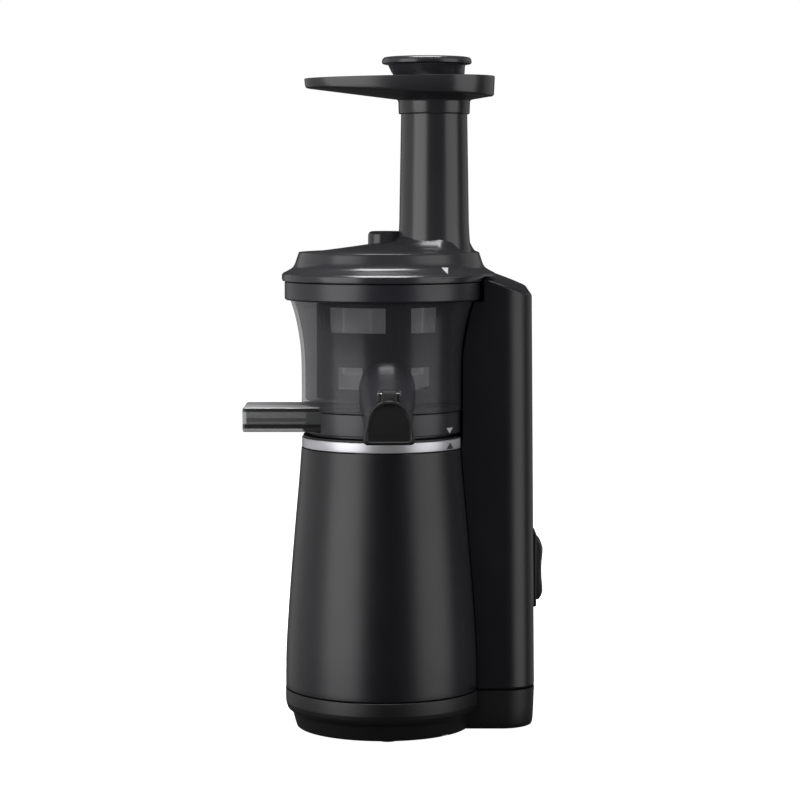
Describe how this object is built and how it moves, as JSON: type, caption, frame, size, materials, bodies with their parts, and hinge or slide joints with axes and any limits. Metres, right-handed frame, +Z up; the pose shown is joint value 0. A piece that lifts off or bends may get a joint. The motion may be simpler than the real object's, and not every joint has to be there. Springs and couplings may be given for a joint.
{
  "type": "vertical slow juicer",
  "caption": "Upright screw-press juicer with offset feed tube, hopper tray, smoked bowl, pulp chute, hinged drip-stop spout and a side tower with rocker switch.",
  "frame": {"origin": "on the drive axis at the underside of the base plate, 1.5 mm above the surface that the feet stand on", "axes": "+Z up along the drive axis, -Y towards the juice spout, -X towards the pulp chute, +X +Y towards the tower"},
  "size_m": [0.1958, 0.1742, 0.437],
  "materials": {
    "satin_black_abs": "satin, fine spark texture",
    "matt_black_abs": "matt moulded",
    "gloss_grey_abs": "polished dark grey",
    "smoke_copolyester": "clear smoke-grey plastic",
    "satin_metal": "satin",
    "cap_black": "matt",
    "rubber_black": "matt",
    "switch_black": "matt",
    "silicone_grey": "soft matt",
    "auger_resin": "satin glass-filled resin",
    "stainless_steel": "brushed",
    "nylon_natural": "moulded",
    "bronze_bush": "sintered",
    "board_green": "laminate"
  },
  "bodies": {
    "base": {"base_tray": "matt_black_abs", "front_housing": "satin_black_abs", "tower_shell": "satin_black_abs", "top_deck": "matt_black_abs", "silver_band": "satin_metal", "shaft_seal": "rubber_black", "cord_gland": "rubber_black", "foot_front": "rubber_black", "foot_left": "rubber_black", "foot_right": "rubber_black", "foot_rear": "rubber_black", "foot_rear_left": "rubber_black", "base_screw_1": "stainless_steel", "base_screw_2": "stainless_steel", "base_screw_3": "stainless_steel", "base_screw_4": "stainless_steel", "switch_bezel": "matt_black_abs", "switch_body": "switch_black", "control_board": "board_green", "bowl_safety_switch": "switch_black", "motor_bracket": "stainless_steel", "lower_bearing": "bronze_bush", "motor_stator": "stainless_steel", "upper_bearing": "bronze_bush", "gearbox_housing": "satin_black_abs", "gearbox_cover": "satin_black_abs"},
    "rotor": {"motor_rotor": "stainless_steel"},
    "first_gear": {"gear_a": "nylon_natural"},
    "second_gear": {"gear_b": "nylon_natural"},
    "output_shaft": {"drive_shaft": "stainless_steel"},
    "rocker": {"switch_rocker": "gloss_grey_abs"},
    "bowl": {"bowl": "smoke_copolyester", "bowl_base": "satin_black_abs", "pulp_chute": "smoke_copolyester", "juice_spout": "smoke_copolyester", "cap_hinge_pin": "stainless_steel", "bowl_seal": "silicone_grey", "strainer_frame": "auger_resin", "strainer_screen": "stainless_steel", "idler_axle": "stainless_steel"},
    "cap": {"juice_cap": "cap_black", "cap_pad": "silicone_grey"},
    "press_screw": {"auger": "auger_resin"},
    "idler": {"brush_idler": "nylon_natural"},
    "cage": {"brush_cage": "satin_black_abs", "wiper_blade_1": "silicone_grey", "wiper_blade_2": "silicone_grey"},
    "lid": {"lid": "gloss_grey_abs", "lid_gasket": "silicone_grey", "top_bush": "bronze_bush"},
    "tray": {"hopper_tray": "gloss_grey_abs"},
    "pusher": {"pusher": "gloss_grey_abs"}
  },
  "joints": [
    {"name": "drive_spin", "type": "hinge", "parent": "base", "child": "output_shaft", "pos_m": [0, 0, 0.1155], "axis": [0, 0, 1], "continuous": true},
    {"name": "second_gear_spin", "type": "hinge", "parent": "base", "child": "second_gear", "pos_m": [0.0112, 0.0194, 0.1055], "axis": [0, 0, 1], "continuous": true},
    {"name": "first_gear_spin", "type": "hinge", "parent": "base", "child": "first_gear", "pos_m": [0.0224, 0, 0.0975], "axis": [0, 0, 1], "continuous": true},
    {"name": "rotor_spin", "type": "hinge", "parent": "base", "child": "rotor", "pos_m": [0, 0, 0.0555], "axis": [0, 0, 1], "continuous": true},
    {"name": "rocker_tilt", "type": "hinge", "parent": "base", "child": "rocker", "pos_m": [0.0968, 0.03, 0.0995], "axis": [0, 1, 0], "range_deg": [-8, 8]},
    {"name": "bowl_lift", "type": "slide", "parent": "base", "child": "bowl", "axis": [0, 0, 1], "range_m": [0, 0.12]},
    {"name": "cap_swing", "type": "hinge", "parent": "bowl", "child": "cap", "pos_m": [0.00406, -0.07048, 0.223], "axis": [0.9983, 0.0576, 0], "range_deg": [-95, 0]},
    {"name": "auger_spin", "type": "hinge", "parent": "bowl", "child": "press_screw", "pos_m": [0, 0, 0.2555], "axis": [0, 0, 1], "continuous": true},
    {"name": "idler_spin", "type": "hinge", "parent": "bowl", "child": "idler", "pos_m": [0.0125, 0.02165, 0.2195], "axis": [0, 0, 1], "continuous": true},
    {"name": "cage_spin", "type": "hinge", "parent": "bowl", "child": "cage", "pos_m": [0, 0, 0.2555], "axis": [0, 0, 1], "continuous": true},
    {"name": "lid_turn", "type": "hinge", "parent": "bowl", "child": "lid", "pos_m": [0, 0, 0.2955], "axis": [0, 0, 1], "range_deg": [0, 25]},
    {"name": "tray_lift", "type": "slide", "parent": "lid", "child": "tray", "axis": [0, 0, 1], "range_m": [0, 0.03]},
    {"name": "pusher_slide", "type": "slide", "parent": "tray", "child": "pusher", "axis": [0, 0, 1], "range_m": [0, 0.08]}
  ],
  "couplings": [
    {"joint": "second_gear_spin", "follows": "drive_spin", "ratio": -3.6667},
    {"joint": "first_gear_spin", "follows": "drive_spin", "ratio": 13.444},
    {"joint": "rotor_spin", "follows": "drive_spin", "ratio": -49.296},
    {"joint": "auger_spin", "follows": "drive_spin", "ratio": 1},
    {"joint": "idler_spin", "follows": "drive_spin", "ratio": -0.81818},
    {"joint": "cage_spin", "follows": "drive_spin", "ratio": -0.29032}
  ]
}
